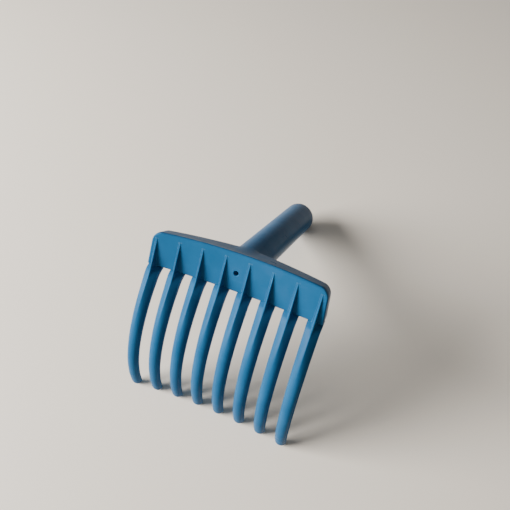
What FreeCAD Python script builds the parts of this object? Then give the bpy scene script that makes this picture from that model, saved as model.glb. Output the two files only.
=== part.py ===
# Hand rake for olive picking: eight hollow-backed tines under a bowed tray, with a socket for a pole.
# The real thing is one plastic moulding, so each node here is one region of that moulding.
# It is drawn upright in its own frame and then laid down as it rests on a table:
# X runs along the head, minus Y is the front of the plate, plus Y is the way the socket points.
import FreeCAD, Part
import Sketcher
import math
import os

os.makedirs("parts", exist_ok=True)
doc = FreeCAD.newDocument("olive_rake")
V = FreeCAD.Vector

# Driving dimensions, in millimetres and degrees.
sheet = doc.addObject("Spreadsheet::Sheet", "Sizes")
SIZES = {
    # head
    "head_width": 152.0,
    "head_height": 33.0,
    "plate_thickness": 3.0,
    "wall_thickness": 2.6,
    "tray_depth": 26.8,
    "tray_taper": 0.2,
    "tray_lean": 6.5,
    "top_sink": 6.8,
    "side_draft": 1.0,
    "bow_radius": 720.0,
    "arch_radius": 740.0,
    "top_corner_radius": 8.0,
    "bottom_corner_radius": 3.0,
    "front_softening": 1.0,
    # socket
    "socket_length": 192.0,
    "socket_depth_on_plate": 16.9,
    "socket_droop": 2.2,
    "socket_root_radius": 14.8,
    "socket_mouth_radius": 16.5,
    "mouth_wall": 2.0,
    "pole_diameter": 25.0,
    "pole_clearance": 0.4,
    "pole_stop": 11.0,
    "pole_seat_end": 92.0,
    "mouth_rounding": 0.7,
    "screw_diameter": 4.0,
    "screw_clearance": 0.1,
    # flared root of the socket
    "flare_length": 31.0,
    "flare_half_width": 19.0,
    "flare_top_height": 13.2,
    "flare_squareness": 3.0,
    # tines
    "tine_count": 8,
    "end_margin": 6.2,
    "tine_width": 12.2,
    "tine_tip_width": 9.6,
    "tine_depth": 8.2,
    "tine_tip_depth": 5.6,
    "tine_wall": 1.5,
    "tine_reach": 148.7,
    "tine_tip_forward": 2.0,
    "tine_bulge_forward": 37.9,
    "tine_bulge_drop": 95.6,
    "tine_ledge": 0.45,
    "tine_flats": 10,
    "tine_solid_tip": 26.0,
    "root_reach": 13.0,
    "root_width": 12.4,
    # wedge ribs on the front of the plate
    "rib_top_gap": 5.2,
    "rib_crest_width": 1.3,
    "rib_base_width": 2.8,
}
for row, (alias, value) in enumerate(SIZES.items(), start=1):
    sheet.set("A%d" % row, alias)
    sheet.set("B%d" % row, str(value))
    sheet.setAlias("B%d" % row, alias)
doc.recompute()


def size(alias):
    return float(sheet.get(alias))


# Small helpers that make one document object each.
def bind(obj, **cells):
    for name, formula in cells.items():
        obj.setExpression(name.replace("__", "."), formula)
    return obj


def drum(name, radius, height, axis_along_y=False):
    obj = doc.addObject("Part::Cylinder", name)
    bind(obj, Radius=radius, Height=height)
    if axis_along_y:
        obj.Placement = FreeCAD.Placement(V(0, 0, 0), FreeCAD.Rotation(V(1, 0, 0), -90))
    return obj


def boolean(kind, name, base, tool):
    obj = doc.addObject("Part::" + kind, name)
    obj.Base = base
    obj.Tool = tool
    return obj


def softened(kind, name, base, size_of_edge):
    doc.recompute()
    edges = []
    for number, edge in enumerate(base.Shape.Edges, start=1):
        amount = size_of_edge(edge)
        if amount:
            edges.append((number, amount, amount))
    obj = doc.addObject("Part::" + kind, name)
    obj.Base = base
    obj.Edges = edges
    return obj


def between(first, last, share):
    return first + (last - first) * share


# A solid skinned over rings of points with flat facets, closed by the first and the last ring.
def skinned(rings):
    faces = [Part.Face(Part.makePolygon(ring + ring[:1])) for ring in (rings[0], rings[-1])]
    for near, far_ring in zip(rings, rings[1:]):
        for a, b, c, d in zip(near, near[1:] + near[:1], far_ring[1:] + far_ring[:1], far_ring):
            for corners_of_facet in ([a, b, c, a], [a, c, d, a]):
                faces.append(Part.Face(Part.makePolygon(corners_of_facet)))
    shell = Part.Shell(faces)
    shell.sewShape()
    solid = Part.Solid(shell)
    if solid.Volume < 0:
        solid.reverse()
    return solid


# Head outline at a distance behind the front: straight below and at the sides, rounded corners and
# an arched top. Towards the open back of the tray the top sinks and the sides draw in.
# It is a list of bends, each a list of points; straight lines join one bend to the next.
def head_bends(inset, distance, flats):
    share = distance / size("tray_depth")
    half = size("head_width") / 2 - inset - size("side_draft") * share
    top = -inset - size("top_sink") * share
    bottom = inset - size("head_height")
    arch = size("arch_radius") - inset
    corner = size("top_corner_radius") - inset
    foot = max(size("bottom_corner_radius") - inset, 0.5)
    corner_x = half - corner
    arch_z = top - arch
    corner_z = arch_z + math.sqrt((arch - corner) ** 2 - corner_x ** 2)
    lean = math.asin(corner_x / (arch - corner))
    right = math.pi / 2

    def bend(middle_x, middle_z, radius, first, last):
        turns = [between(first, last, step / flats) for step in range(flats + 1)]
        return [V(middle_x + radius * math.sin(t), distance, middle_z + radius * math.cos(t)) for t in turns]

    return [
        bend(0, arch_z, arch, -lean, lean),
        bend(corner_x, corner_z, corner, lean, right),
        bend(half - foot, bottom + foot, foot, right, 2 * right),
        bend(foot - half, bottom + foot, foot, 2 * right, 3 * right),
        bend(-corner_x, corner_z, corner, -right, -lean),
    ]


# The plate's outline, with each bend as a true arc.
def arc_outline(bends):
    edges = []
    for stops, following in zip(bends, bends[1:] + bends[:1]):
        edges.append(Part.Arc(*stops).toShape())
        if (stops[-1] - following[0]).Length > 0.001:
            edges.append(Part.makeLine(stops[-1], following[0]))
    return Part.Wire(edges)


# The tray's outline, with each bend as narrow flats.
def flat_outline(inset, distance):
    ring = []
    for stops in head_bends(inset, distance, 6):
        ring += [point for point in stops if not ring or (point - ring[-1]).Length > 0.001]
    return ring[:-1] if (ring[0] - ring[-1]).Length < 0.001 else ring


before_plate = -3 * size("plate_thickness")
behind_tray = 1.5 * size("tray_depth")
plate_outline = doc.addObject("Part::Feature", "plate_outline")
plate_outline.Shape = arc_outline(head_bends(0, 0, 2))
outside = doc.addObject("Part::Extrusion", "outside")
outside.Base = plate_outline
outside.Dir = V(0, 1, 0)
outside.LengthFwd = behind_tray
outside.LengthRev = -before_plate
outside.Solid = True


def head_block(name, inset):
    block = doc.addObject("Part::Feature", name)
    block.Shape = skinned([flat_outline(inset, before_plate), flat_outline(inset, behind_tray)])
    return block


tray_outside = head_block("tray_outside", 0)
hollow = head_block("hollow", size("wall_thickness"))

# The plate is bowed: its ends stand forward of its middle, on a wide drum whose axis lies in front.
front_drum = drum("front_drum", "Sizes.bow_radius", "4 * Sizes.head_height")
bind(front_drum, Placement__Base__y="-Sizes.bow_radius", Placement__Base__z="-3 * Sizes.head_height")
back_drum = drum("back_drum", "Sizes.bow_radius + Sizes.plate_thickness", "4 * Sizes.head_height")
bind(back_drum, Placement__Base__y="-Sizes.bow_radius", Placement__Base__z="-3 * Sizes.head_height")

# The open back edge of the tray runs straight from each end to the socket, like a gusset seen from
# above, and leans so that the lower wall is deeper.
def rim_outline(height):
    middle = size("tray_depth") - (height + size("head_height") / 2) * math.tan(math.radians(size("tray_lean")))
    wide = size("head_width")
    end = middle - size("tray_taper") * wide
    return [V(0, middle, height), V(wide, end, height), V(wide, -wide, height), V(-wide, -wide, height),
            V(-wide, end, height)]


rim_block = doc.addObject("Part::Feature", "rim_block")
rim_block.Shape = skinned([rim_outline(-2 * size("head_height")), rim_outline(size("head_height"))])

# Socket frame: its Y axis is the pole's axis, and its origin lies on the front of the plate.
droop = FreeCAD.Rotation(V(1, 0, 0), -size("socket_droop"))
socket_frame = FreeCAD.Placement(V(0, 0, -size("socket_depth_on_plate")), droop)

# Front plate, with a clearance hole on the pole's axis for the screw that holds the pole.
plate_slab = boolean("Common", "plate_slab", outside, back_drum)
plate_bare = boolean("Cut", "plate_bare", plate_slab, front_drum)


def front_edge(edge):
    for vertex in edge.Vertexes:
        reach = math.hypot(vertex.Point.x, vertex.Point.y + size("bow_radius"))
        if abs(reach - size("bow_radius")) > 0.01:
            return None
    return size("front_softening")


doc.recompute()
plate_soft = softened("Chamfer", "plate_soft", plate_bare, front_edge)
screw_drill = drum("screw_drill", "Sizes.screw_diameter / 2 + Sizes.screw_clearance", "4 * Sizes.plate_thickness")
screw_drill.Placement = socket_frame.multiply(
    FreeCAD.Placement(V(0, -2 * size("plate_thickness"), 0), FreeCAD.Rotation(V(1, 0, 0), -90)))
front_plate = boolean("Cut", "front_plate", plate_soft, screw_drill)

# Walls: the ring between the outline and the hollow, from the back of the plate to the open edge.
wall_block = boolean("Common", "wall_block", tray_outside, rim_block)
wall_ring_closed = boolean("Cut", "wall_ring_closed", wall_block, back_drum)
wall_ring = boolean("Cut", "wall_ring", wall_ring_closed, hollow)
doc.recompute()


# Flared root of the socket: nearly square against the plate, round where the tube goes on.
# Its underside stays level with the lower wall and its top climbs out through the upper wall.
def squircle(half_width, up, down, squareness, distance):
    points = []
    count = 32
    for step in range(count):
        turn = 2 * math.pi * (step + 0.5) / count
        c = math.cos(turn)
        s = math.sin(turn)
        x = half_width * math.copysign(abs(c) ** (2 / squareness), c)
        z = math.copysign(abs(s) ** (2 / squareness), s) * (up if s > 0 else down)
        points.append(V(x, distance, z))
    return Part.makePolygon(points + points[:1])


def socket_radius(distance):
    slope = (size("socket_mouth_radius") - size("socket_root_radius")) / size("socket_length")
    return size("socket_root_radius") + slope * distance


def ease(share, power):
    return 1 - (1 - share) ** power


def flare_sections():
    length = size("flare_length")
    round_radius = socket_radius(length)
    start_up = size("flare_top_height")
    start_down = size("head_height") - size("socket_depth_on_plate") - 0.5 * size("wall_thickness")
    wires = []
    for share in (0.0, 0.12, 0.27, 0.45, 0.65, 0.85):
        wide = size("flare_half_width") + (round_radius - size("flare_half_width")) * ease(share, 1.6)
        up = start_up + (round_radius - start_up) * ease(share, 4)
        down = start_down + (round_radius - start_down) * ease(share, 2)
        square = size("flare_squareness") + (2.0 - size("flare_squareness")) * ease(share, 2)
        wires.append(squircle(wide, up, down, square, share * length))
    wires.append(squircle(round_radius, round_radius, round_radius, 2.0, length))
    return wires


# The lower wall runs through under the flare, and the flare splits the upper wall in two.
inner_end = size("head_width") / 2 - size("top_corner_radius") - 2 * size("wall_thickness")
outer_end = size("head_width") / 2 + 1
middle_height = -size("head_height") / 2
far = 3 * size("head_width")


def wall_part(name, low_x, high_x, low_z, high_z, cutter=None):
    zone = Part.makeBox(high_x - low_x, 2 * far, high_z - low_z, V(low_x, -far, low_z))
    solid = wall_ring.Shape.common(zone)
    if cutter:
        solid = solid.cut(cutter)
    obj = doc.addObject("Part::Feature", name)
    obj.Shape = solid.Solids[0]
    return obj


flare_outside = Part.makeLoft(flare_sections(), True, True)
flare_outside.transformShape(socket_frame.toMatrix())

# The pole's bore also takes a shallow groove out of the lower wall.
pole_bore_radius = size("pole_diameter") / 2 + size("pole_clearance")
pole_drill = Part.makeCylinder(pole_bore_radius, size("pole_seat_end"), V(0, size("pole_stop"), 0), V(0, 1, 0))
screw_path = Part.makeCylinder(size("screw_diameter") / 2 + size("screw_clearance"), size("pole_seat_end"),
                               V(0, 0, 0), V(0, 1, 0))
pole_drill = pole_drill.fuse(screw_path)
pole_drill.transformShape(socket_frame.toMatrix())
bottom_wall = wall_part("bottom_wall", -inner_end, inner_end, -far, middle_height, pole_drill)
top_wall_left = wall_part("top_wall_left", -inner_end, 0, middle_height, far, flare_outside)
top_wall_right = wall_part("top_wall_right", 0, inner_end, middle_height, far, flare_outside)
end_wall_left = wall_part("end_wall_left", -outer_end, -inner_end, -far, far)
end_wall_right = wall_part("end_wall_right", inner_end, outer_end, -far, far)

socket_flare = doc.addObject("Part::Feature", "socket_flare")
socket_flare.Shape = flare_outside.cut(pole_drill).cut(back_drum.Shape).cut(bottom_wall.Shape).Solids[0]

# Socket tube, turned about the pole's axis: a straight seat for the pole, then a widening mouth.
tube = doc.addObject("PartDesign::Body", "socket_tube")
plane = [p for p in tube.Origin.OriginFeatures if p.Role == "XY_Plane"][0]
profile = tube.newObject("Sketcher::SketchObject", "tube_profile")
profile.AttachmentSupport = (plane, [""])
profile.MapMode = "FlatFace"
seat_radius = "Sizes.pole_diameter / 2 + Sizes.pole_clearance"
outer_slope = "(Sizes.socket_mouth_radius - Sizes.socket_root_radius) / Sizes.socket_length"
corners = [
    (seat_radius, "Sizes.flare_length"),
    ("Sizes.socket_root_radius + Sizes.flare_length * %s" % outer_slope, "Sizes.flare_length"),
    ("Sizes.socket_mouth_radius", "Sizes.socket_length - Sizes.mouth_rounding"),
    ("Sizes.socket_mouth_radius - Sizes.mouth_rounding", "Sizes.socket_length"),
    ("Sizes.socket_mouth_radius - Sizes.mouth_wall + Sizes.mouth_rounding / 2", "Sizes.socket_length"),
    ("Sizes.socket_mouth_radius - Sizes.mouth_wall", "Sizes.socket_length - Sizes.mouth_rounding"),
    (seat_radius, "Sizes.pole_seat_end"),
]
first_guess = [(13, 31), (15, 31), (16.5, 191), (16, 192), (15, 192), (14.5, 191), (13, 92)]
for number, point in enumerate(first_guess):
    following = first_guess[(number + 1) % len(first_guess)]
    profile.addGeometry(Part.LineSegment(V(point[0], point[1], 0), V(following[0], following[1], 0)), False)
for number in range(len(corners)):
    profile.addConstraint(Sketcher.Constraint("Coincident", number, 2, (number + 1) % len(corners), 1))
for number, (radius, height) in enumerate(corners):
    across = profile.addConstraint(Sketcher.Constraint("DistanceX", -1, 1, number, 1, first_guess[number][0]))
    profile.setExpression("Constraints[%d]" % across, radius)
    along = profile.addConstraint(Sketcher.Constraint("DistanceY", -1, 1, number, 1, first_guess[number][1]))
    profile.setExpression("Constraints[%d]" % along, height)
turned = tube.newObject("PartDesign::Revolution", "tube_turned")
turned.Profile = profile
turned.ReferenceAxis = (profile, ["V_Axis"])
turned.Angle = 360
tube.Tip = turned
doc.recompute()


# Tines. One tine is drawn at the middle of the head, and every tine is a moved copy of it.
# Its open back edge follows one Bezier curve; sections stand square to that curve.
def back_edge():
    start = V(0, 5.0, -size("head_height") + 1)
    pull = V(0, -size("tine_bulge_forward"), -size("tine_bulge_drop"))
    end = V(0, -size("tine_tip_forward"), -size("tine_reach"))
    curve = Part.BezierCurve()
    curve.setPoles([start, start + (pull - start) * 0.01, pull, end])
    return curve


edge_curve = back_edge()
tip_speed = 3 * (edge_curve.getPole(4) - edge_curve.getPole(3)).Length



# A station is where a section stands: its origin on the back edge, the way to the front, its half
# width and its depth from back edge to crest.
def curve_station(share, scale=1.0):
    origin = edge_curve.value(share)
    along = V(*edge_curve.tangent(share)[0])
    front = V(0, along.z, -along.y)
    if front.y > 0:
        front = front * -1
    half_width = between(size("tine_width"), size("tine_tip_width"), share) / 2
    depth = between(size("tine_depth"), size("tine_tip_depth"), share)
    # the rounded end shrinks about the middle of the section
    origin = origin + front * (depth * (1 - scale) / 2)
    return origin, front, half_width * scale, depth * scale


def root_station(back_y, back_z, crest_y, crest_z, half_width):
    origin = V(0, back_y, back_z)
    across = V(0, crest_y, crest_z) - origin
    depth = across.Length
    return origin, across * (1 / depth), half_width, depth


def tine_stations():
    low = -size("head_height")
    reach = size("root_reach")
    wide = size("root_width") / 2
    narrow = size("tine_width") / 2
    stations = [
        root_station(reach, low + 1.6, -0.7, low + 1.6, wide),
        root_station(0.56 * reach, low - 1.3, -3.5, low - 0.3, between(wide, narrow, 0.6)),
    ]
    for step in range(9):
        stations.append(curve_station(between(0.2, 0.9, step / 8.0)))
    ball = size("tine_tip_width") / 2
    for gap in (1.25 * ball, 0.6 * ball, 0.25 * ball, 0.04 * ball):
        roundness = math.sqrt(1 - max(0.0, 1 - gap / ball) ** 2) if gap < ball else 1.0
        stations.append(curve_station(1 - gap / tip_speed, roundness))
    return stations


def placed(station, across, out):
    origin, front, half_width, depth = station
    return origin + V(1, 0, 0) * across + front * out


# Outside of a tine: flat back edges, straight sides, a small parting ledge and a half-round front,
# which is made of narrow flats to keep the solid light.
def outer_ring(station, corner):
    origin, front, half_width, depth = station
    corner = min(corner, 0.45 * half_width, 0.3 * depth)
    side = 0.38 * depth
    inner = half_width - min(size("tine_ledge"), 0.1 * half_width)
    outline = [(half_width - corner, 0), (half_width, corner), (half_width, side)]
    flats = int(size("tine_flats"))
    for step in range(flats + 1):
        turn = math.pi * step / flats
        outline.append((inner * math.cos(turn), side + (depth - side) * math.sin(turn)))
    outline += [(-half_width, side), (-half_width, corner), (corner - half_width, 0)]
    return [placed(station, across, out) for across, out in outline]


# Hollow of a tine: a channel open to the back, pointed at the root and running out before the tip.
def channel_ring(station, half_width, depth):
    side = min(0.38 * station[3], 0.5 * depth)
    corners = [(-half_width, -1.5), (half_width, -1.5), (half_width, side), (0.55 * half_width, depth),
               (-0.55 * half_width, depth), (-half_width, side)]
    return [placed(station, across, out) for across, out in corners]


def tine_outside():
    stations = tine_stations()
    rings = []
    for number, station in enumerate(stations):
        rings.append(outer_ring(station, 0.5 + 2.2 * (number / (len(stations) - 1)) ** 5))
    return skinned(rings)


def tine_channel():
    wall = size("tine_wall")
    stations = tine_stations()
    run_out = 1 - size("tine_solid_tip") / tip_speed
    rings = [channel_ring(stations[1], 0.9, 0.35 * stations[1][3])]
    for number in range(2, 11):
        share = between(0.2, 0.9, (number - 2) / 8.0)
        if share > run_out - 0.02:
            break
        fullness = min(1.0, (run_out + 0.03 - share) / 0.12)
        station = stations[number]
        rings.append(channel_ring(station, (station[2] - wall) * (0.6 + 0.4 * fullness),
                                  (station[3] - wall) * fullness))
    station = curve_station(run_out)
    rings.append(channel_ring(station, (station[2] - wall) * 0.6, 0.1 * (station[3] - wall)))
    return skinned(rings)


tine_blank = tine_outside()
tine_hollowed = tine_blank.cut(tine_channel())


# Wedge rib: it starts as a point near the top of the plate and grows into the crest of the tine.
def rib_solid():
    top = -size("rib_top_gap")
    low = -size("head_height") - 4.5
    base_y = 1.2
    rings = []
    for share in (0.0, 0.5, 1.0):
        height = between(top, low, share)
        crest = -between(0.05, 7.0, share ** 1.15)
        half_crest = size("rib_crest_width") / 2 * (0.6 + 0.4 * share)
        half_base = size("rib_base_width") / 2 * (0.55 + 0.45 * share)
        shoulder = crest + 0.4 * share + 0.05
        outline = [(-half_base, base_y), (half_base, base_y), (half_crest, shoulder),
                   (0.5 * half_crest, crest), (-0.5 * half_crest, crest), (-half_crest, shoulder)]
        rings.append([V(x, y, height) for x, y in outline])
    return skinned(rings)


rib_blank = rib_solid().cut(tine_blank)


# Resting pose: the rake leans until the tine tips and the mouth of the socket touch the table.
def lowest(points, angle):
    return min(p.z * math.cos(angle) - p.y * math.sin(angle) for p in points)


tube.Placement = socket_frame
doc.recompute()
tine_points = tine_blank.tessellate(0.05)[0]
tube_points = tube.Shape.tessellate(0.05)[0]
gentle = math.radians(5)
steep = math.radians(60)
for turn in range(50):
    rest_angle = (gentle + steep) / 2
    if lowest(tube_points, rest_angle) > lowest(tine_points, rest_angle):
        gentle = rest_angle
    else:
        steep = rest_angle
rest_height = -lowest(tine_points, rest_angle)
tine_count = int(size("tine_count"))
end_tine = size("head_width") / 2 - size("end_margin")
tine_pitch = 2 * end_tine / (tine_count - 1)


def bow(x):
    return size("bow_radius") - math.sqrt(size("bow_radius") ** 2 - x * x)


def lie_down(point):
    return point.y * math.cos(rest_angle) + point.z * math.sin(rest_angle)


# The frame's origin is under the middle of the rake, on the table.
front_reach = min(lie_down(p) for p in tine_points) - bow(end_tine) / math.cos(rest_angle)
back_reach = max(lie_down(p) for p in tube_points)
rest_shift = -(front_reach + back_reach) / 2
seat = FreeCAD.Placement(V(0, rest_shift, rest_height),
                         FreeCAD.Rotation(V(1, 0, 0), -math.degrees(rest_angle)))
print("rest angle %.4f degrees, shift %.4f mm, height %.4f mm"
      % (math.degrees(rest_angle), rest_shift, rest_height))

# Tines and ribs stand along the bow of the plate. A tine that stands further forward is also set
# lower by as much as the resting pose lifts it, so that every tip touches the table.
nodes = [front_plate, top_wall_left, top_wall_right, bottom_wall, end_wall_left, end_wall_right,
         socket_flare, tube]
head_solids = [obj.Shape.copy() for obj in nodes if obj is not tube]


# The head is the same on both sides of its middle, so a tine on the left is a mirrored one.
def seated(blank, x):
    forward = bow(x)
    solid = blank.copy()
    solid.translate(V(abs(x), -forward, -forward * math.tan(rest_angle)))
    near = [head for head in head_solids if head.BoundBox.intersect(solid.BoundBox)]
    solid = max(solid.cut(near).Solids, key=lambda one: one.Volume)
    return solid.mirror(V(0, 0, 0), V(1, 0, 0)) if x < 0 else solid


def node(name, solid):
    obj = doc.addObject("Part::Feature", name)
    obj.Shape = solid
    nodes.append(obj)


for number in range(tine_count):
    x = number * tine_pitch - end_tine
    node("tine_%d" % (number + 1), seated(tine_hollowed, x))
    node("tine_rib_%d" % (number + 1), seated(rib_blank, x))

# Lay every node down in the resting pose, check it and write it out.
for obj in nodes:
    obj.Label = obj.Name
    obj.Placement = seat.multiply(obj.Placement)
doc.recompute()
for obj in doc.Objects:
    if "Invalid" in obj.State or "Error" in obj.State:
        raise ValueError("%s did not compute" % obj.Name)
for obj in nodes:
    shape = obj.Shape
    if shape.isNull() or not shape.isValid() or len(shape.Solids) != 1:
        raise ValueError("%s is not one valid solid" % obj.Label)
    shape.exportStep("parts/%s.step" % obj.Label)
    print("%-16s %9.1f mm3" % (obj.Label, shape.Volume))
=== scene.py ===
# Olive rake: a hand rake of blue moulded plastic, lying on its tine tips and on the end of its socket.
# Each section below makes one piece of the moulding, in metres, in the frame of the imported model.
import bmesh
import bpy
import math
from mathutils import Matrix, Vector


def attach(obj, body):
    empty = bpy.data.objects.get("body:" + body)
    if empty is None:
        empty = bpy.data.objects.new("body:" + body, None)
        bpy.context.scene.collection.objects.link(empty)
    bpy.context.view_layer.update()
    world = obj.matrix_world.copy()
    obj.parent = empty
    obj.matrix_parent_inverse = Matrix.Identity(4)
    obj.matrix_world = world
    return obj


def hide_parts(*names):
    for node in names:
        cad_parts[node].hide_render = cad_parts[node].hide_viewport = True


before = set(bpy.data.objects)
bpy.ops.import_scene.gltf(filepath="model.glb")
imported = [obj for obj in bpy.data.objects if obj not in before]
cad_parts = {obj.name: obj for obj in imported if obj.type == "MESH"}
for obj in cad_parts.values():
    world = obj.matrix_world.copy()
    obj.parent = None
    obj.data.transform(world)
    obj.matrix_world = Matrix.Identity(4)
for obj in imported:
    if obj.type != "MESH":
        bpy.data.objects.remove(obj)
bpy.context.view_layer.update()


# ---- Camera
# A phone held above the table, in front of the rake and a little to its right, and tilted well down.
# Its place and its lens were fitted to the tine tips, gaps and rib tops seen in the photograph.
SENSOR_WIDTH = 36.0
PHOTO_PIXELS = 510.0
FOCAL_PIXELS = 486.9
CAMERA_PLACE = (0.10175, -0.24671, 0.42245)
CAMERA_AROUND = 23.285
CAMERA_DOWN = 51.98
CAMERA_ROLL = -0.223
NEAREST_SEEN = 0.01

camera_data = bpy.data.cameras.new("camera")
camera_data.sensor_width = SENSOR_WIDTH
camera_data.lens = SENSOR_WIDTH * FOCAL_PIXELS / PHOTO_PIXELS
camera_data.clip_start = NEAREST_SEEN
camera = bpy.data.objects.new("camera", camera_data)
bpy.context.collection.objects.link(camera)
camera_turn = (Matrix.Rotation(math.radians(CAMERA_AROUND), 4, "Z")
               @ Matrix.Rotation(math.radians(90 - CAMERA_DOWN), 4, "X")
               @ Matrix.Rotation(math.radians(CAMERA_ROLL), 4, "Z"))
camera.matrix_world = Matrix.Translation(CAMERA_PLACE) @ camera_turn
bpy.context.scene.camera = camera

# ---- Head tray
# The real head is a bowed plate with an arched top and a shallow tray behind it, open at the back.
# It is injection moulded in one shot with the tines and the socket, in blue polypropylene; the front
# edges are rounded, and a small screw hole goes through on the axis of the pole. Sizes in millimetres.
MM = 0.001
REST_ANGLE = math.radians(29.3103)
REST_SHIFT = -39.6376
REST_HEIGHT = 128.7825
HEAD_HALF = 76.0
HEAD_HEIGHT = 33.0
PLATE = 3.0
WALL = 2.6
TRAY_DEPTH = 26.8
TRAY_TAPER = 0.2
TRAY_LEAN = math.radians(6.5)
TOP_SLOPE = 0.18
SIDE_DRAFT = 1.0 / TRAY_DEPTH
BOW_RADIUS = 720.0
ARCH_RADIUS = 740.0
TOP_CORNER = 8.0
END_TAPER = 2.4
TAPER_POWER = 6
BOTTOM_CORNER = 1.2
LEAST_CORNER = 0.4
FRONT_ROUNDING = 1.5
RIM_ROUNDING = 0.55
INNER_FILLET = 1.2
HOLE_RADIUS = 2.1
POLE_DROP = 16.9


# Moulding millimetres (X along the head, minus Y to the front, Z up the plate) to the resting pose.
def lay(x, y, z):
    c = math.cos(REST_ANGLE)
    s = math.sin(REST_ANGLE)
    return (x * MM, (y * c + z * s + REST_SHIFT) * MM, (z * c - y * s + REST_HEIGHT) * MM)


# How far back the front of the plate bows, where its back lies, and where the rim of the tray lies.
def bow(x):
    return BOW_RADIUS - math.sqrt(BOW_RADIUS * BOW_RADIUS - x * x)


def plate_back(x):
    reach = BOW_RADIUS + PLATE
    return math.sqrt(reach * reach - x * x) - BOW_RADIUS


def rim_line(x, z):
    return TRAY_DEPTH - TRAY_TAPER * abs(x) - (z + HEAD_HEIGHT / 2) * math.tan(TRAY_LEAN)


# Every smooth-shaded piece goes through here; its faces are all turned outwards.
def moulded(name, points, faces):
    mesh = bpy.data.meshes.new(name)
    mesh.from_pydata([Vector(p) for p in points], [], faces)
    mesh.validate()
    solid = bmesh.new()
    solid.from_mesh(mesh)
    bmesh.ops.recalc_face_normals(solid, faces=solid.faces)
    solid.to_mesh(mesh)
    solid.free()
    mesh.polygons.foreach_set("use_smooth", [True] * len(mesh.polygons))
    mesh.update()
    piece = bpy.data.objects.new(name, mesh)
    bpy.context.collection.objects.link(piece)
    return piece


# Quads between rows of point numbers; each row joins its last point to its first.
def skin(faces, rows, flip):
    for one, two in zip(rows, rows[1:]):
        count = len(one)
        for i in range(count):
            k = (i + 1) % count
            quad = (one[i], one[k], two[k], two[i])
            faces.append(quad[::-1] if flip else quad)


# The socket's sizes come first, because the tray's skin swells up to it.
SOCKET_LENGTH = 191.9
SOCKET_DROOP = math.radians(2.2)
ROOT_RADIUS = 14.8
MOUTH_RADIUS = 16.4
FLARE_LENGTH = 31.0
FLARE_HALF = 19.0
FLARE_TOP = 13.2
FLARE_SQUARE = 3.0
TUBE_MIDDLE = 13.9


# A rise from 0 to 1 that is quick at first and levels off at the end.
def ease(share, power):
    return 1 - (1 - min(share, 1.0)) ** power


def tube_radius(distance):
    return ROOT_RADIUS + (MOUTH_RADIUS - ROOT_RADIUS) * distance / SOCKET_LENGTH


# Half width, rise above the pole's axis, drop below it and squareness of the socket's root.
def flare_form(distance):
    place = distance / FLARE_LENGTH
    end = tube_radius(max(distance, FLARE_LENGTH))
    start_down = HEAD_HEIGHT - POLE_DROP - 0.5 * WALL
    return (FLARE_HALF + (end - FLARE_HALF) * ease(place, 1.6),
            FLARE_TOP + (end - FLARE_TOP) * ease(place, 4),
            start_down + (end - start_down) * ease(place, 2),
            FLARE_SQUARE + (2.0 - FLARE_SQUARE) * ease(place, 2))


# Height of the root's upper skin over the pole's axis at a place x across.
def flare_top(x, distance):
    wide, up, down, square = flare_form(distance)
    if abs(x) >= wide:
        return 0.0
    return up * (1 - (abs(x) / wide) ** square) ** (1 / square)


# The plate is a net of columns and rows, about 1 mm apart; the last columns turn round the top corners.
HALF_COLUMNS = 68
CORNER_STEPS = 8
BOTTOM_STEPS = 5
ROWS = 33
arch_meets = math.asin((HEAD_HALF - TOP_CORNER) / (ARCH_RADIUS - TOP_CORNER))
corner_height = -ARCH_RADIUS + (ARCH_RADIUS - TOP_CORNER) * math.cos(arch_meets)


# Upper and lower end of one column of the plate, on the outline moved in by inset.
def column(number, inset):
    side = math.copysign(1, number)
    number = abs(number)
    arch = ARCH_RADIUS - inset
    low_radius = max(BOTTOM_CORNER - inset, LEAST_CORNER)
    low_x = HEAD_HALF - inset - low_radius
    low_z = -HEAD_HEIGHT + inset + low_radius
    if number <= HALF_COLUMNS:
        x = number * math.sin(arch_meets) * arch / HALF_COLUMNS
        top = (side * x, math.sqrt(arch * arch - x * x) - ARCH_RADIUS)
        bottom = (side * min(number, low_x), -HEAD_HEIGHT + inset)
        return top, bottom
    step = number - HALF_COLUMNS
    turn = arch_meets + (math.pi / 2 - arch_meets) * step / CORNER_STEPS
    radius = TOP_CORNER - inset
    top = (side * (HEAD_HALF - TOP_CORNER + radius * math.sin(turn)),
           corner_height + radius * math.cos(turn))
    straight = CORNER_STEPS - BOTTOM_STEPS
    if step <= straight:
        bottom = (side * (HALF_COLUMNS + (low_x - HALF_COLUMNS) * step / straight), -HEAD_HEIGHT + inset)
    else:
        turn = math.pi / 2 * (step - straight) / BOTTOM_STEPS
        bottom = (side * (low_x + low_radius * math.sin(turn)), low_z - low_radius * math.cos(turn))
    return top, bottom


# A point of the net; the ends of the head also narrow a little towards the top.
def column_point(number, row, inset):
    top, bottom = column(number, inset)
    share = row / ROWS
    x = top[0] + (bottom[0] - top[0]) * share
    z = top[1] + (bottom[1] - top[1]) * share
    height_share = min(1.0, (HEAD_HEIGHT + z) / HEAD_HEIGHT)
    x -= math.copysign(END_TAPER, x) * (abs(x) / HEAD_HALF) ** TAPER_POWER * height_share
    return x, z


ends = HALF_COLUMNS + CORNER_STEPS
outline_cells = ([(n, 0) for n in range(-ends, ends + 1)]
                 + [(ends, r) for r in range(1, ROWS)]
                 + [(n, ROWS) for n in range(ends, -ends - 1, -1)]
                 + [(-ends, r) for r in range(ROWS - 1, 0, -1)])

tray_points = []
tray_faces = []


# A soft rise from 0 to 1.
def smooth_step(value):
    value = min(max(value, 0.0), 1.0)
    return value * value * (3 - 2 * value)


# The larger of two heights, with a fillet where they meet.
def soft_max(one, two, reach):
    gap = max(reach - abs(one - two), 0.0) / reach
    return max(one, two) + gap * gap * reach / 4


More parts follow.
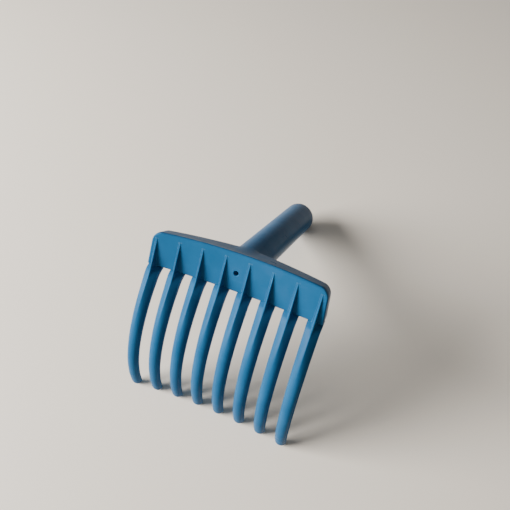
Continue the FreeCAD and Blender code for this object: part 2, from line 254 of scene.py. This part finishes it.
# Behind the plate the top sinks and the ends draw in a little, in step with the depth y. Where the
# socket comes through, the outer skin swells up to it and the inner skin stays inside its wall.
SINK_START = 1.2
SINK_LENGTH = 3.0
SWELL_HALF = 30
SWELL_START = 1.5
SWELL_FILLET = 2.4
BELOW_SOCKET = 0.12


def tray_skin(x, y, z, inset, row_share):
    behind = smooth_step((y + bow(x) - SINK_START) / SINK_LENGTH)
    depth = max(y, 0.0) * behind
    x -= math.copysign(SIDE_DRAFT * depth, x) * abs(x) / HEAD_HALF
    z -= TOP_SLOPE * depth * (1 - row_share)
    if abs(x) < SWELL_HALF and y > SWELL_START:
        axis = -POLE_DROP - y * math.tan(SOCKET_DROOP)
        if row_share == 0 and inset < WALL / 2:
            skin_radius = flare_top(x, y)
            if skin_radius > 0:
                z = soft_max(z, axis + skin_radius - BELOW_SOCKET, SWELL_FILLET)
        elif abs(x) < TUBE_MIDDLE:
            arc = math.sqrt(TUBE_MIDDLE ** 2 - x * x)
            if row_share == 0:
                z = max(z, axis + arc)
            elif row_share == 1 and inset >= WALL / 2:
                z = min(z, axis - arc)
    return x, z


# One closed row around the head: inset from the outline, at the depth that the given line says.
def outline_row(inset, depth):
    row = []
    for number, cell in outline_cells:
        x, z = column_point(number, cell, inset)
        y = depth(x, z)
        x, z = tray_skin(x, y, z, inset, cell / ROWS)
        row.append(len(tray_points))
        tray_points.append(lay(x, y, z))
    return row


# The flat of a plate face, inside the last row; cells of the screw hole are left open.
def plate_grid(row, inset, depth, flip, open_cells=()):
    known = dict(zip(outline_cells, row))
    for number in range(-ends + 1, ends):
        for cell in range(1, ROWS):
            x, z = column_point(number, cell, inset)
            known[(number, cell)] = len(tray_points)
            tray_points.append(lay(x, depth(x, z), z))
    for number in range(-ends, ends):
        for cell in range(ROWS):
            if (number, cell) in open_cells:
                continue
            quad = (known[(number, cell)], known[(number, cell + 1)],
                    known[(number + 1, cell + 1)], known[(number + 1, cell)])
            tray_faces.append(quad[::-1] if flip else quad)
    return known


# Rows go over the rounded front edge, back along the outside, round the rim and forward inside.
FRONT_STEPS = 5
OUTER_STEPS = 24
INNER_STEPS = 14
ROUND_STEPS = 4
front_rows = []
for step in range(FRONT_STEPS + 1):
    turn = math.pi / 2 * step / FRONT_STEPS
    inset = FRONT_ROUNDING * (1 - math.sin(turn))
    back_off = FRONT_ROUNDING * (1 - math.cos(turn))
    front_rows.append(outline_row(inset, lambda x, z, b=back_off: b - bow(x)))
wall_rows = []
for step in range(1, OUTER_STEPS + 1):
    share = step / OUTER_STEPS
    wall_rows.append(outline_row(0, lambda x, z, s=share: (FRONT_ROUNDING - bow(x)) * (1 - s)
                                 + (rim_line(x, z) - RIM_ROUNDING) * s))
for step in range(1, ROUND_STEPS + 1):
    turn = math.pi / 2 * step / ROUND_STEPS
    inset = RIM_ROUNDING * (1 - math.cos(turn))
    short = RIM_ROUNDING * (1 - math.sin(turn))
    wall_rows.append(outline_row(inset, lambda x, z, b=short: rim_line(x, z) - b))
for step in range(ROUND_STEPS + 1):
    turn = math.pi / 2 * step / ROUND_STEPS
    inset = WALL - RIM_ROUNDING * (1 - math.sin(turn))
    short = RIM_ROUNDING * (1 - math.cos(turn))
    wall_rows.append(outline_row(inset, lambda x, z, b=short: rim_line(x, z) - b))
for step in range(1, INNER_STEPS + 1):
    share = step / INNER_STEPS
    wall_rows.append(outline_row(WALL, lambda x, z, s=share: (rim_line(x, z) - RIM_ROUNDING) * (1 - s)
                                 + (plate_back(x) + INNER_FILLET) * s))
for step in range(1, ROUND_STEPS + 1):
    turn = math.pi / 2 * step / ROUND_STEPS
    inset = WALL + INNER_FILLET * (1 - math.cos(turn))
    lift = INNER_FILLET * (1 - math.sin(turn))
    wall_rows.append(outline_row(inset, lambda x, z, b=lift: plate_back(x) + b))
skin(tray_faces, front_rows + wall_rows, flip=True)

HOLE_HALF = 4
HOLE_FIRST = 13
HOLE_LAST = HOLE_FIRST + 2 * HOLE_HALF
hole_columns = range(-HOLE_HALF, HOLE_HALF)
hole_cells = {(n, r) for n in hole_columns for r in range(HOLE_FIRST, HOLE_LAST)}
front_known = plate_grid(front_rows[0], FRONT_ROUNDING, lambda x, z: -bow(x), False, hole_cells)
back_known = plate_grid(wall_rows[-1], WALL + INNER_FILLET, lambda x, z: plate_back(x), True, hole_cells)

# Screw hole: a ring of cells turned into a circle, with a soft edge, right through the plate.
hole_ring = ([(n, HOLE_FIRST) for n in hole_columns]
             + [(HOLE_HALF, r) for r in range(HOLE_FIRST, HOLE_LAST)]
             + [(n, HOLE_LAST) for n in range(HOLE_HALF, -HOLE_HALF, -1)]
             + [(-HOLE_HALF, r) for r in range(HOLE_LAST, HOLE_FIRST, -1)])
hole_rows = [[front_known[cell] for cell in hole_ring]]
for radius, depth in ((HOLE_RADIUS + 0.9, 0.0), (HOLE_RADIUS + 0.4, 0.0), (HOLE_RADIUS + 0.12, 0.08),
                      (HOLE_RADIUS, 0.35), (HOLE_RADIUS, 2.0), (HOLE_RADIUS, PLATE)):
    row = []
    for number, cell in hole_ring:
        x, z = column_point(number, cell, FRONT_ROUNDING)
        turn = math.atan2(z + POLE_DROP, x)
        x = radius * math.cos(turn)
        z = radius * math.sin(turn) - POLE_DROP
        row.append(len(tray_points))
        tray_points.append(lay(x, depth - bow(x), z))
    hole_rows.append(row)
hole_rows.append([back_known[cell] for cell in hole_ring])
skin(tray_faces, hole_rows, flip=False)
head_tray = moulded("head_tray", tray_points, tray_faces)


# Blue polypropylene: an even colour with slow cloudy change from the melt, a faint grain from the
# mould, paler edges that are partly rubbed wear and partly a painted highlight, hair scratches and a
# trace of dust on what faces up.
def blue_plastic():
    material = bpy.data.materials.new("blue_moulded_plastic")
    material.use_nodes = True
    nodes = material.node_tree.nodes
    links = material.node_tree.links
    shader = nodes["Principled BSDF"]
    shader.inputs["IOR"].default_value = 1.49
    shader.inputs["Specular IOR Level"].default_value = 0.035
    place = nodes.new("ShaderNodeTexCoord")

    def noise(scale, detail, stretch=(1, 1, 1), turn=(0, 0, 0)):
        mapping = nodes.new("ShaderNodeMapping")
        mapping.inputs["Scale"].default_value = stretch
        mapping.inputs["Rotation"].default_value = turn
        links.new(place.outputs["Object"], mapping.inputs["Vector"])
        texture = nodes.new("ShaderNodeTexNoise")
        texture.inputs["Scale"].default_value = scale
        texture.inputs["Detail"].default_value = detail
        links.new(mapping.outputs["Vector"], texture.inputs["Vector"])
        return texture.outputs["Fac"]

    def ramp(value, low, high, out_low=0.0, out_high=1.0):
        node = nodes.new("ShaderNodeMapRange")
        node.inputs["From Min"].default_value = low
        node.inputs["From Max"].default_value = high
        node.inputs["To Min"].default_value = out_low
        node.inputs["To Max"].default_value = out_high
        links.new(value, node.inputs["Value"])
        return node.outputs["Result"]

    def blend(factor, one, two):
        node = nodes.new("ShaderNodeMix")
        node.data_type = "RGBA"
        links.new(factor, node.inputs["Factor"])
        for socket, colour in ((node.inputs["A"], one), (node.inputs["B"], two)):
            if isinstance(colour, tuple):
                socket.default_value = colour
            else:
                links.new(colour, socket)
        return node.outputs["Result"]

    def times(one, two):
        node = nodes.new("ShaderNodeMath")
        node.operation = "MULTIPLY"
        links.new(one, node.inputs[0])
        links.new(two, node.inputs[1])
        return node.outputs["Value"]

    deep_blue = (0.0130, 0.090, 0.208, 1.0)
    light_blue = (0.0180, 0.107, 0.240, 1.0)
    streak_blue = (0.030, 0.18, 0.36, 1.0)
    rubbed_and_highlight_blue = (0.16, 0.42, 0.62, 1.0)
    dust_grey = (0.52, 0.52, 0.50, 1.0)
    cloud = ramp(noise(38.0, 3.0), 0.35, 0.65)
    colour = blend(cloud, deep_blue, light_blue)
    streak = ramp(noise(30.0, 6.0, (1.0, 14.0, 1.0), (0.5, 0.3, 0.2)), 0.62, 0.78, 0.0, 0.16)
    colour = blend(streak, colour, streak_blue)
    geometry = nodes.new("ShaderNodeNewGeometry")
    # convex edges painted a paler blue: partly rubbed wear, partly a painted highlight where the edges
    # catch the light
    rubbed_and_highlight = ramp(geometry.outputs["Pointiness"], 0.525, 0.60, 0.0, 0.70)
    rubbed_and_highlight = times(rubbed_and_highlight, ramp(noise(160.0, 4.0), 0.3, 0.7, 0.3, 1.0))
    colour = blend(rubbed_and_highlight, colour, rubbed_and_highlight_blue)
    split = nodes.new("ShaderNodeSeparateXYZ")
    links.new(geometry.outputs["Normal"], split.inputs["Vector"])
    dust = times(ramp(split.outputs["Z"], 0.3, 1.0, 0.0, 0.010), ramp(noise(420.0, 5.0), 0.45, 0.75))
    colour = blend(dust, colour, dust_grey)
    links.new(colour, shader.inputs["Base Color"])

    hair = ramp(noise(55.0, 2.0, (22.0, 1.0, 1.0), (0.2, 0.5, 0.9)), 0.68, 0.72)
    rough = ramp(noise(95.0, 4.0), 0.3, 0.7, 0.27, 0.34)
    add = nodes.new("ShaderNodeMath")
    add.operation = "MULTIPLY_ADD"
    add.inputs[1].default_value = 0.18
    links.new(hair, add.inputs[0])
    links.new(rough, add.inputs[2])
    links.new(add.outputs["Value"], shader.inputs["Roughness"])

    grain = nodes.new("ShaderNodeBump")
    grain.inputs["Strength"].default_value = 0.10
    grain.inputs["Distance"].default_value = 0.00012
    links.new(noise(950.0, 3.0), grain.inputs["Height"])
    sink = nodes.new("ShaderNodeBump")
    sink.inputs["Strength"].default_value = 0.16
    sink.inputs["Distance"].default_value = 0.0012
    links.new(noise(70.0, 1.0), sink.inputs["Height"])
    links.new(grain.outputs["Normal"], sink.inputs["Normal"])
    links.new(sink.outputs["Normal"], shader.inputs["Normal"])
    return material


plastic = blue_plastic()
head_tray.data.materials.append(plastic)
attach(head_tray, "root")
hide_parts("front_plate", "top_wall_left", "top_wall_right", "bottom_wall",
            "end_wall_left", "end_wall_right")

# ---- Socket
# The tube that takes the pole grows out of the middle of the tray through a flared root. It is
# cored from its mouth, with draft, and the root is squarer where it leaves the plate.
MOUTH_WALL = 2.0
MOUTH_ROUNDING = 0.7
BORE_RADIUS = 12.9
BORE_FLOOR = 11.0
SEAT_END = 92.0
FLARE_START = 1.8
ROOT_FILLET = 1.4
CORE_RADIUS = 8.0
BORE_CORNER = 0.5
BORE_STEPS = (70.0, 50.0, 30.0, 14.0)
AROUND = 96
FLARE_STEPS = 40
TUBE_STEPS = 20
MOUTH_STEPS = 5
SEAT_STEPS = 10


def along_pole(x, distance, z):
    c = math.cos(SOCKET_DROOP)
    s = math.sin(SOCKET_DROOP)
    return lay(x, distance * c + z * s, z * c - distance * s - POLE_DROP)


socket_points = []
socket_faces = []


def socket_row(distance, wide, up, down, square):
    row = []
    for step in range(AROUND):
        turn = 2 * math.pi * (step + 0.5) / AROUND
        c = math.cos(turn)
        s = math.sin(turn)
        x = wide * math.copysign(abs(c) ** (2 / square), c)
        z = math.copysign(abs(s) ** (2 / square), s) * (up if s > 0 else down)
        row.append(len(socket_points))
        socket_points.append(along_pole(x, distance, z))
    return row


def round_row(distance, radius):
    return socket_row(distance, radius, radius, radius, 2.0)


socket_rows = [round_row(FLARE_START, HOLE_RADIUS + 0.05), round_row(FLARE_START, CORE_RADIUS)]
for step in range(FLARE_STEPS + 1):
    distance = FLARE_START + (FLARE_LENGTH - FLARE_START) * (step / FLARE_STEPS) ** 1.5
    wide, up, down, square = flare_form(distance)
    lift = min(max((distance - PLATE + 0.3) / ROOT_FILLET, 0.0), 1.0)
    wide += ROOT_FILLET * (1 - math.sqrt(1 - (1 - lift) ** 2))
    socket_rows.append(socket_row(distance, wide, up, down, square))
for step in range(1, TUBE_STEPS + 1):
    distance = FLARE_LENGTH + (SOCKET_LENGTH - MOUTH_ROUNDING - FLARE_LENGTH) * step / TUBE_STEPS
    socket_rows.append(round_row(distance, tube_radius(distance)))
for step in range(1, MOUTH_STEPS + 1):
    turn = math.pi / 2 * step / MOUTH_STEPS
    socket_rows.append(round_row(SOCKET_LENGTH - MOUTH_ROUNDING * (1 - math.sin(turn)),
                                 MOUTH_RADIUS - MOUTH_ROUNDING * (1 - math.cos(turn))))
for step in range(MOUTH_STEPS + 1):
    turn = math.pi / 2 * step / MOUTH_STEPS
    socket_rows.append(round_row(SOCKET_LENGTH - MOUTH_ROUNDING * (1 - math.cos(turn)),
                                 MOUTH_RADIUS - MOUTH_WALL + MOUTH_ROUNDING * (1 - math.sin(turn))))
for step in range(1, SEAT_STEPS + 1):
    distance = SOCKET_LENGTH - MOUTH_ROUNDING + (SEAT_END - SOCKET_LENGTH) * step / SEAT_STEPS
    radius = MOUTH_RADIUS - MOUTH_WALL + (BORE_RADIUS - MOUTH_RADIUS + MOUTH_WALL) * step / SEAT_STEPS
    socket_rows.append(round_row(distance, radius))
for distance in BORE_STEPS + (BORE_FLOOR + BORE_CORNER,):
    socket_rows.append(round_row(distance, BORE_RADIUS))
for radius in (BORE_RADIUS - BORE_CORNER, CORE_RADIUS, HOLE_RADIUS + 0.05):
    socket_rows.append(round_row(BORE_FLOOR, radius))
socket_rows.append(socket_rows[0])
skin(socket_faces, socket_rows, flip=False)
socket = moulded("socket", socket_points, socket_faces)
socket.data.materials.append(plastic)
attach(socket, "root")
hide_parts("socket_flare", "socket_tube")

# ---- Tines with their ribs
# Eight curved tines comb the olives off. Each is half-round in front, hollow behind like a gutter,
# solid at its rounded tip, and braced by a knife-like rib that runs up the plate.
TINE_PITCH = 139.6 / 7
TINE_COUNT = 8
TINE_WIDTH = 12.4
TIP_WIDTH = 9.9
TINE_DEPTH = 8.15
TIP_DEPTH = 5.55
TINE_WALL = 1.5
TINE_LEDGE = 0.6
SOLID_TIP = 26.0
TIP_SHORT = 0.45
RIB_TOP = 5.2
RIB_TOP_FALL = 1.6
RIB_END = HEAD_HEIGHT + 4.5
RIB_START = 0.05
RIB_REACH = 7.0
RIB_SWEEP = 1.15
RIDGE_END = 84.0
ROOT_FADE = 54.0
BACK_START = Vector((5.0, 1 - HEAD_HEIGHT))
BULGE = Vector((-37.9, -95.6))
TIP_END = Vector((-2.0, -148.7))
START_PULL = 0.01
edge_poles = [BACK_START, BACK_START + (BULGE - BACK_START) * START_PULL, BULGE, TIP_END]
tip_speed = 3 * (TIP_END - BULGE).length


def mix(one, two, share):
    return one + (two - one) * share


# The back edge of a tine is one curve, from the lower wall of the tray to the tip.
def edge_point(share):
    a, b, c, d = edge_poles
    rest = 1 - share
    return a * rest ** 3 + b * 3 * rest * rest * share + c * 3 * rest * share * share + d * share ** 3


# The direction square to that curve, to the front.
def edge_front(share):
    a, b, c, d = edge_poles
    rest = 1 - share
    along = (b - a) * rest * rest + (c - b) * 2 * rest * share + (d - c) * share * share
    along.normalize()
    front = Vector((along.y, -along.x))
    return -front if front.x > 0 else front


# A station is one cross-section: back point, front direction, half width and depth, all as numbers.
def station(origin, front, half, depth):
    return [origin.x, origin.y, front.x, front.y, half, depth]


def curve_station(share):
    return station(edge_point(share), edge_front(share), mix(TINE_WIDTH, TIP_WIDTH, share) / 2,
                   mix(TINE_DEPTH, TIP_DEPTH, share))


def root_station(back, crest, half):
    across = Vector(crest) - Vector(back)
    return station(Vector(back), across.normalized(), half, across.length)


CURVE_FIRST = 0.2
CURVE_SPAN = 0.7
CURVE_STEPS = 8
key_stations = [root_station((9.5, 1.6 - HEAD_HEIGHT), (-0.7, 1.6 - HEAD_HEIGHT), 6.2),
                root_station((5.3, -HEAD_HEIGHT - 1.3), (-3.5, -HEAD_HEIGHT - 0.3), 6.17)]
key_stations += [curve_station(CURVE_FIRST + CURVE_SPAN * step / CURVE_STEPS)
                 for step in range(CURVE_STEPS + 1)]


# Smooth values between the key stations.
def between_stations(place):
    number = min(int(place), len(key_stations) - 2)
    t = place - number
    p1 = key_stations[number]
    p2 = key_stations[number + 1]
    p0 = key_stations[number - 1] if number > 0 else [2 * a - b for a, b in zip(p1, p2)]
    if number + 2 < len(key_stations):
        p3 = key_stations[number + 2]
    else:
        p3 = [2 * b - a for a, b in zip(p1, p2)]
    row = []
    for a, b, c, d in zip(p0, p1, p2, p3):
        row.append(0.5 * (2 * b + (c - a) * t + (2 * a - 5 * b + 4 * c - d) * t * t
                          + (3 * b - a - 3 * c + d) * t ** 3))
    length = math.hypot(row[2], row[3])
    row[2] /= length
    row[3] /= length
    return row


# How far the rib stands out from the plate at a height z, and how far down its length that is.
def rib_crest(z, top):
    share = min(max((-z - top) / (RIB_END - top), 0.0), 1.0)
    return RIB_START + (RIB_REACH - RIB_START) * share ** RIB_SWEEP, share


CREST_STEPS = 36
CREST_CROWDING = 1.35


# Places across the front, closer together near the crest.
def across_places():
    places = []
    for step in range(CREST_STEPS + 1):
        u = 1 - 2 * step / CREST_STEPS
        places.append(math.copysign(abs(u) ** CREST_CROWDING, u))
    return places


# The rib alone, standing on the plate, with y given from the plate's face. Its foot is let into the
# plate, and has as many points as the back of a tine's section, so that both join into one skin.
RIB_STEPS = 20
FOOT_POINTS = 16
FOOT_DEPTH = 0.6
CREST_ROUND = 0.25


def rib_rings(rib_top):
    rows = []
    for step in range(RIB_STEPS + 1):
        z = -mix(rib_top - 0.6, HEAD_HEIGHT - 1.8, step / RIB_STEPS)
        crest, share = rib_crest(z, rib_top)
        half_base = 0.95 + 1.25 * share
        half_crest = 0.45 + 0.25 * share
        fillet = 0.5 + 0.5 * share
        foot = half_base + fillet * 1.2
        ring = []
        for u in across_places():
            x = foot * u
            slope = (crest + 1.2) / (half_base - half_crest)
            flank = crest - max(0.0, math.hypot(x, CREST_ROUND) - CREST_ROUND - 0.35 * half_crest) * slope
            out = soft_max(0.02, flank, fillet)
            if crest < 0.3:
                out = min(out, 0.02 + crest)
            if abs(u) > 0.99:
                out = -0.4
            ring.append((x, -out, z, True))
        for x in (-foot, foot):
            for number in range(FOOT_POINTS):
                ring.append((x * 0.9, FOOT_DEPTH + 0.02 * number, z, True))
        rows.append(ring)
    return rows


# One section of a tine: its front between the two sides, then a side, the channel and the other side.
SIDE_SHARE = 0.45
ROOT_SIDE_SHARE = 0.60
RIDGE_SHARE = 0.92
RIB_LOWEST = -66
RIB_EDGE = 0.3
RIB_SLOPE = 3.6
RIB_FILLET = 1.2
CHANNEL_LIP = 0.3
CHANNEL_STEPS = 5


def tine_ring(values, channel_half, channel_depth, corner, rib_top, scale=1.0):
    back_y, back_z, front_y, front_z, half, depth = values
    back_y += front_y * depth * (1 - scale) / 2
    back_z += front_z * depth * (1 - scale) / 2
    half *= scale
    depth *= scale
    corner = min(corner, 0.45 * half, 0.3 * depth)
    root = smooth_step((back_z + ROOT_FADE) / (ROOT_FADE - HEAD_HEIGHT))
    side = mix(SIDE_SHARE, ROOT_SIDE_SHARE, root) * depth
    inner = half - min(TINE_LEDGE, 0.1 * half)
    ring = []

    def put(x, out):
        ring.append((x, back_y + front_y * out, back_z + front_z * out, False))

    # under the plate the front is a ridge between two flanks, and further down it is half-round
    ridge = smooth_step((back_z + RIDGE_END) / (RIDGE_END - HEAD_HEIGHT))
    for u in across_places():
        x = inner * u
        round_front = math.sqrt(max(0.0, 1 - u * u))
        flank_front = 1.04 - math.hypot(u, 0.06) - 0.12 * u * u * (1 - u * u)
        flank_front = max(min(flank_front, round_front), 0.0)
        body = side + (depth - side) * mix(round_front, flank_front, RIDGE_SHARE * ridge)
        z_here = back_z + front_z * body
        crest, share = rib_crest(z_here, rib_top)
        if share < 1.0 and back_z > RIB_LOWEST:
            # the rib's crest, measured along this section's own front direction
            reach = (crest + back_y) / -front_y
            flank = reach - max(0.0, math.hypot(x, CREST_ROUND) - CREST_ROUND - RIB_EDGE) * RIB_SLOPE
            body = soft_max(body, flank, RIB_FILLET)
        put(x, body)
    lip = min(CHANNEL_LIP, 0.3 * channel_depth)
    for sign in (-1, 1):
        part = [(half - 0.1, side + 0.04), (half, side - 0.12), (half, 0.6 * side), (half, corner),
                (half - 0.29 * corner, 0.29 * corner), (half - corner, 0.0),
                (channel_half + lip + 0.05, 0.0), (channel_half + 0.3 * lip, 0.3 * lip),
                (channel_half, lip)]
        low = min(side, 0.5 * channel_depth)
        part += [(channel_half, mix(lip, low, 0.5)), (channel_half, low)]
        for step in range(1, CHANNEL_STEPS + 1):
            turn = math.pi / 2 * step / CHANNEL_STEPS
            part.append((channel_half * math.cos(turn) ** 0.8,
                         low + (channel_depth - low) * math.sin(turn) ** 0.8))
        if sign > 0:
            part = part[::-1]
        for x, out in part:
            put(sign * x, out)
    return ring


# All sections of a tine, from its root under the plate to its rounded tip.
run_out = 1 - SOLID_TIP / tip_speed
RUN_OUT_LENGTH = 0.12
ROOT_PLACES = [0.0, 0.15, 0.3, 0.45, 0.6, 0.75, 0.9, 1.0, 1.15, 1.3, 1.45, 1.6, 1.8]
TIP_STEPS = 11


def tine_rings(rib_top):
    rings = []
    wall = TINE_WALL
    last = len(key_stations) - 1
    for place in ROOT_PLACES + [2 + 0.25 * n for n in range(4 * (last - 2) + 1)]:
        values = between_stations(place)
        # the channel opens out along the root and closes again before the solid tip
        if place < 1:
            half = mix(0.3, 0.9, place)
            deep = mix(0.05, 0.35, place) * values[5]
        elif place < 2:
            half = mix(0.9, values[4] - wall, place - 1)
            deep = mix(0.35 * values[5], values[5] - wall, place - 1)
        else:
            share = CURVE_FIRST + CURVE_SPAN * (place - 2) / CURVE_STEPS
            full = min(1.0, max(0.0, (run_out + 0.02 - share) / RUN_OUT_LENGTH))
            full = math.sin(math.pi / 2 * full)
            half = (values[4] - wall) * (0.55 + 0.45 * full)
            deep = max((values[5] - wall) * full, 0.0)
        rings.append(tine_ring(values, half, deep, 0.5 + 0.6 * max(0.0, place - 6) / 4, rib_top))
    ball = TIP_WIDTH / 2
    for step in range(1, TIP_STEPS + 1):
        gap = ball * 1.6 * (1 - step / TIP_STEPS) ** 1.5 + 0.004
        round_off = math.sqrt(max(0.0, 1 - max(0.0, 1 - gap / ball) ** 2))
        values = curve_station(1 - (gap + TIP_SHORT) / tip_speed)
        rings.append(tine_ring(values, (values[4] - wall) * 0.5 * round_off, 0.0,
                               1.1 + 1.6 * step / TIP_STEPS, rib_top, round_off))
    return rings


for number in range(TINE_COUNT):
    middle = (number - (TINE_COUNT - 1) / 2) * TINE_PITCH
    forward = bow(middle)
    drop = forward * math.tan(REST_ANGLE)
    points = []
    rows = []
    rib_top = RIB_TOP + RIB_TOP_FALL * (middle / HEAD_HALF) ** 2
    for ring in rib_rings(rib_top) + tine_rings(rib_top):
        row = []
        for x, y, z, on_plate in ring:
            row.append(len(points))
            face = bow(middle + x) if on_plate else forward
            points.append(lay(middle + x, y - face, z - drop))
        rows.append(row)
    faces = []
    skin(faces, rows, flip=True)
    faces.append(tuple(rows[0]))
    faces.append(tuple(reversed(rows[-1])))
    tine = moulded("tine_with_rib_%d" % (number + 1), points, faces)
    tine.data.materials.append(plastic)
    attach(tine, "root")
    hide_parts("tine_%d" % (number + 1), "tine_rib_%d" % (number + 1))

# ---- Table and light
# A plain pale table top stands in for the marble one. It is lit by one large soft window at the left,
# with a weak light from the ceiling and a pale room around.
TABLE_SIZE = 8.0
bpy.ops.mesh.primitive_plane_add(size=TABLE_SIZE, location=(0, 0, 0))
table = bpy.context.object
table.name = "table"
table_top = bpy.data.materials.new("pale_table")
table_top.use_nodes = True
table_shader = table_top.node_tree.nodes["Principled BSDF"]
table_shader.inputs["Base Color"].default_value = (0.93, 0.855, 0.75, 1.0)
table_shader.inputs["Roughness"].default_value = 0.45
table.data.materials.append(table_top)


# A square area light turned to the middle of the rake.
LIGHT_TARGET = Vector((0, 0, 0.05))


def soft_light(name, place, wide, power, colour):
    data = bpy.data.lights.new(name, "AREA")
    data.shape = "SQUARE"
    data.size = wide
    data.energy = power
    data.color = colour
    lamp = bpy.data.objects.new(name, data)
    bpy.context.collection.objects.link(lamp)
    lamp.location = place
    lamp.rotation_euler = (LIGHT_TARGET - Vector(place)).to_track_quat("-Z", "Y").to_euler()


soft_light("window", (-1.66, -0.86, 0.86), 1.1, 136.0, (1.0, 0.975, 0.94))
soft_light("ceiling", (-0.2, -0.3, 1.5), 0.9, 2.2, (1.0, 0.98, 0.95))
room = bpy.data.worlds.new("room")
room.use_nodes = True
room.node_tree.nodes["Background"].inputs["Color"].default_value = (0.80, 0.82, 0.85, 1.0)
room.node_tree.nodes["Background"].inputs["Strength"].default_value = 0.14
bpy.context.scene.world = room
